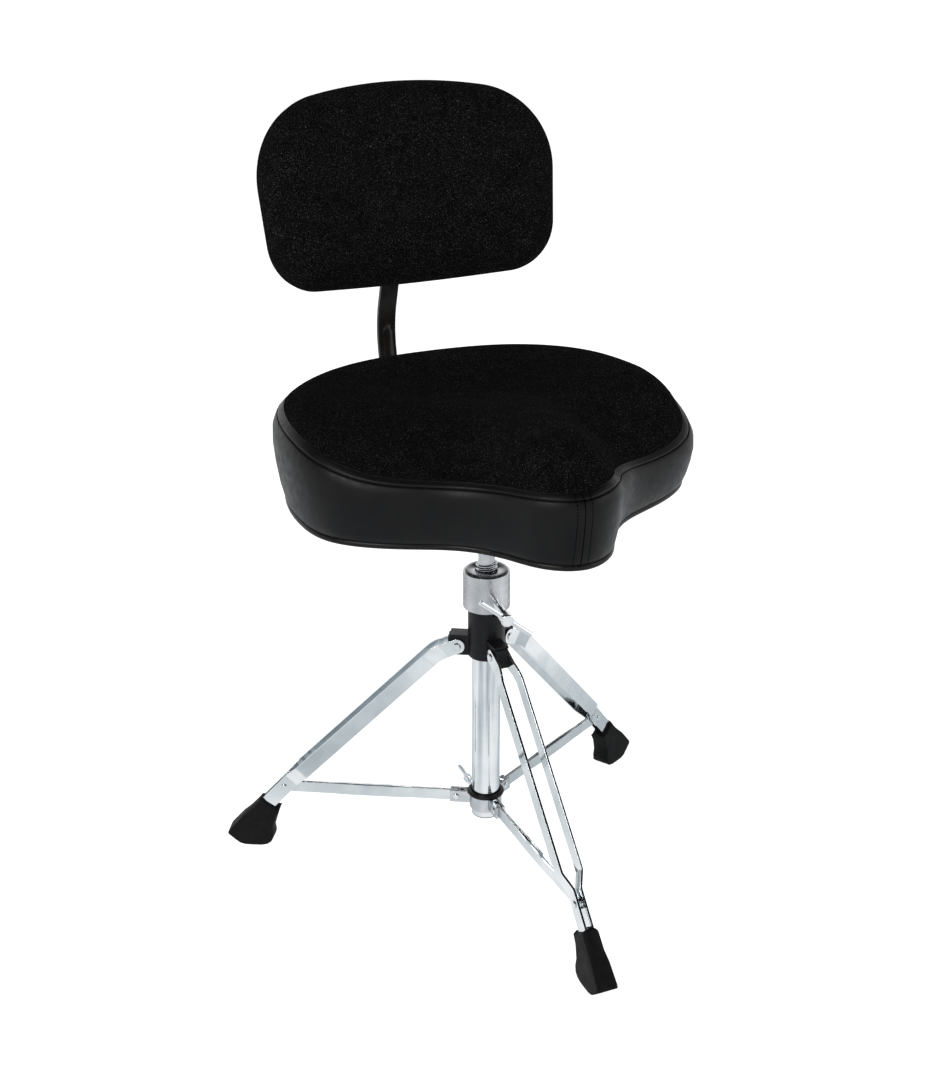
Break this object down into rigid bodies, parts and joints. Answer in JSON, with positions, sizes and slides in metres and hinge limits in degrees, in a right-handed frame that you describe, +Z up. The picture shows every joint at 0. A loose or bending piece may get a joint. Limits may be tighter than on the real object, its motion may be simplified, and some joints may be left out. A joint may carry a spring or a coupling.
{
  "type": "drum throne",
  "caption": "Folding tripod stool with a saddle-shaped padded seat on a threaded height spindle and a curved padded backrest on a flat bar.",
  "frame": {"origin": "on the floor, on the axis of the column", "axes": "+Z up along the column, the nose of the seat and the front leg point to -Y, the backrest is at +Y, +X to the sitter's right hand side seen from behind"},
  "size_m": [0.5384, 0.6088, 0.8554],
  "materials": {
    "chrome_tube": "polished chrome plate over steel tube",
    "chrome_strap": "polished chrome plate over flat steel",
    "chrome_casting": "chrome plate over a die casting",
    "chrome_knurl": "chrome plate over a fine diagonal knurl",
    "chrome_screw": "polished chrome plate over turned steel",
    "black_hub": "satin black powder coat over a casting",
    "black_steel": "semi-gloss black powder coat over flat steel",
    "zinc_steel": "bright zinc plate over steel",
    "bronze": "sintered bronze",
    "nylon": "black moulded nylon",
    "knob_plastic": "black moulded phenolic plastic",
    "foot_rubber": "moulded black rubber",
    "ring_rubber": "smooth black nitrile rubber",
    "plywood": "black stained and sealed birch plywood",
    "piping": "extruded black vinyl edge trim",
    "saddle_cover": "black velour top over black vinyl boxing",
    "velour": "black short pile velour",
    "board_vinyl": "black upholstery vinyl over moulded board"
  },
  "bodies": {
    "root": {"column_tube": "chrome_tube", "tube_end_plug": "nylon", "leg_hub": "black_hub", "hub_washer": "nylon", "hub_rivets": "chrome_screw"},
    "collar": {"slide_collar": "chrome_casting", "collar_o_ring": "ring_rubber", "collar_rivets": "chrome_screw"},
    "collar_screw": {"collar_screw": "chrome_screw", "collar_screw_bar": "chrome_screw"},
    "nut": {"knurled_nut": "chrome_knurl", "clamp_pad": "nylon"},
    "t_screw": {"t_screw": "chrome_screw", "t_bar": "chrome_screw"},
    "spindle": {"spindle": "chrome_screw", "spindle_guide": "nylon", "thrust_ring": "zinc_steel", "retaining_ring": "zinc_steel"},
    "seat": {"swivel_bearing": "bronze", "swivel_housing": "black_steel", "seat_plate": "black_steel", "seat_plate_bolts": "zinc_steel", "seat_board": "plywood", "seat_trim": "piping", "seat_pad": "saddle_cover", "bar_bracket": "black_steel", "bracket_screws": "zinc_steel"},
    "bar_knob": {"bar_knob": "knob_plastic"},
    "back_bar": {"back_bar": "black_steel"},
    "backrest": {"back_sleeve": "black_steel", "back_plate": "black_steel", "back_plate_screws": "zinc_steel", "back_board": "board_vinyl", "back_pad": "velour"},
    "height_knob": {"height_knob": "knob_plastic"},
    "front_leg": {"front_leg_strap_a": "chrome_strap", "front_leg_strap_b": "chrome_strap", "front_leg_rivet": "chrome_screw", "front_foot": "foot_rubber"},
    "front_strut": {"front_strut_strap_a": "chrome_strap", "front_strut_strap_b": "chrome_strap", "front_strut_pin": "chrome_screw"},
    "right_leg": {"right_leg_strap_a": "chrome_strap", "right_leg_strap_b": "chrome_strap", "right_leg_rivet": "chrome_screw", "right_foot": "foot_rubber"},
    "right_strut": {"right_strut_strap_a": "chrome_strap", "right_strut_strap_b": "chrome_strap", "right_strut_pin": "chrome_screw"},
    "left_leg": {"left_leg_strap_a": "chrome_strap", "left_leg_strap_b": "chrome_strap", "left_leg_rivet": "chrome_screw", "left_foot": "foot_rubber"},
    "left_strut": {"left_strut_strap_a": "chrome_strap", "left_strut_strap_b": "chrome_strap", "left_strut_pin": "chrome_screw"}
  },
  "joints": [
    {"name": "front_leg_fold", "type": "hinge", "parent": "root", "child": "front_leg", "pos_m": [0, -0.032, 0.272], "axis": [1, 0, 0], "range_deg": [0, 40.16]},
    {"name": "right_leg_fold", "type": "hinge", "parent": "root", "child": "right_leg", "pos_m": [0.02771, 0.016, 0.272], "axis": [-0.5, 0.866, 0], "range_deg": [0, 40.16]},
    {"name": "left_leg_fold", "type": "hinge", "parent": "root", "child": "left_leg", "pos_m": [-0.02771, 0.016, 0.272], "axis": [-0.5, -0.866, 0], "range_deg": [0, 40.16]},
    {"name": "collar_slide", "type": "slide", "parent": "root", "child": "collar", "axis": [0, 0, 1], "range_m": [0, 0.114]},
    {"name": "front_strut_fold", "type": "hinge", "parent": "collar", "child": "front_strut", "pos_m": [0, -0.0336, 0.0776], "axis": [1, 0, 0], "range_deg": [0, 81.87]},
    {"name": "right_strut_fold", "type": "hinge", "parent": "collar", "child": "right_strut", "pos_m": [0.0291, 0.0168, 0.0776], "axis": [-0.5, 0.866, 0], "range_deg": [0, 81.87]},
    {"name": "left_strut_fold", "type": "hinge", "parent": "collar", "child": "left_strut", "pos_m": [-0.0291, 0.0168, 0.0776], "axis": [-0.5, -0.866, 0], "range_deg": [0, 81.87]},
    {"name": "collar_screw_turn", "type": "hinge", "parent": "collar", "child": "collar_screw", "pos_m": [0, 0.048, 0.074], "axis": [0, 1, 0], "range_deg": [0, 450]},
    {"name": "height_slide", "type": "slide", "parent": "root", "child": "spindle", "axis": [0, 0, 1], "range_m": [-0.03, 0.085]},
    {"name": "nut_turn", "type": "hinge", "parent": "root", "child": "nut", "pos_m": [0, 0, 0.341], "axis": [0, 0, 1], "range_deg": [-2200, 6200]},
    {"name": "t_screw_turn", "type": "hinge", "parent": "nut", "child": "t_screw", "pos_m": [-0.0132, -0.0789, 0.34], "axis": [-0.165, -0.9863, 0], "range_deg": [0, 450]},
    {"name": "seat_swivel", "type": "hinge", "parent": "spindle", "child": "seat", "pos_m": [0, 0, 0.42], "axis": [0, 0, 1], "continuous": true},
    {"name": "bar_depth", "type": "slide", "parent": "seat", "child": "back_bar", "axis": [0, 1, 0], "range_m": [-0.03, 0.03]},
    {"name": "bar_knob_turn", "type": "hinge", "parent": "seat", "child": "bar_knob", "pos_m": [0, 0.128, 0.43], "axis": [0, 0, -1], "range_deg": [0, 720]},
    {"name": "back_height", "type": "slide", "parent": "back_bar", "child": "backrest", "axis": [0, 0, 1], "range_m": [-0.04, 0.025]},
    {"name": "height_knob_turn", "type": "hinge", "parent": "backrest", "child": "height_knob", "pos_m": [0, 0.29, 0.738], "axis": [0, 1, 0], "range_deg": [0, 720]}
  ],
  "couplings": [
    {"joint": "right_leg_fold", "follows": "front_leg_fold", "ratio": 1},
    {"joint": "left_leg_fold", "follows": "front_leg_fold", "ratio": 1},
    {"joint": "collar_slide", "follows": "front_leg_fold", "m_per_rad": 0.16244},
    {"joint": "front_strut_fold", "follows": "front_leg_fold", "ratio": 2.0375},
    {"joint": "right_strut_fold", "follows": "front_leg_fold", "ratio": 2.0375},
    {"joint": "left_strut_fold", "follows": "front_leg_fold", "ratio": 2.0375},
    {"joint": "nut_turn", "follows": "height_slide", "rad_per_m": 1256.6}
  ]
}
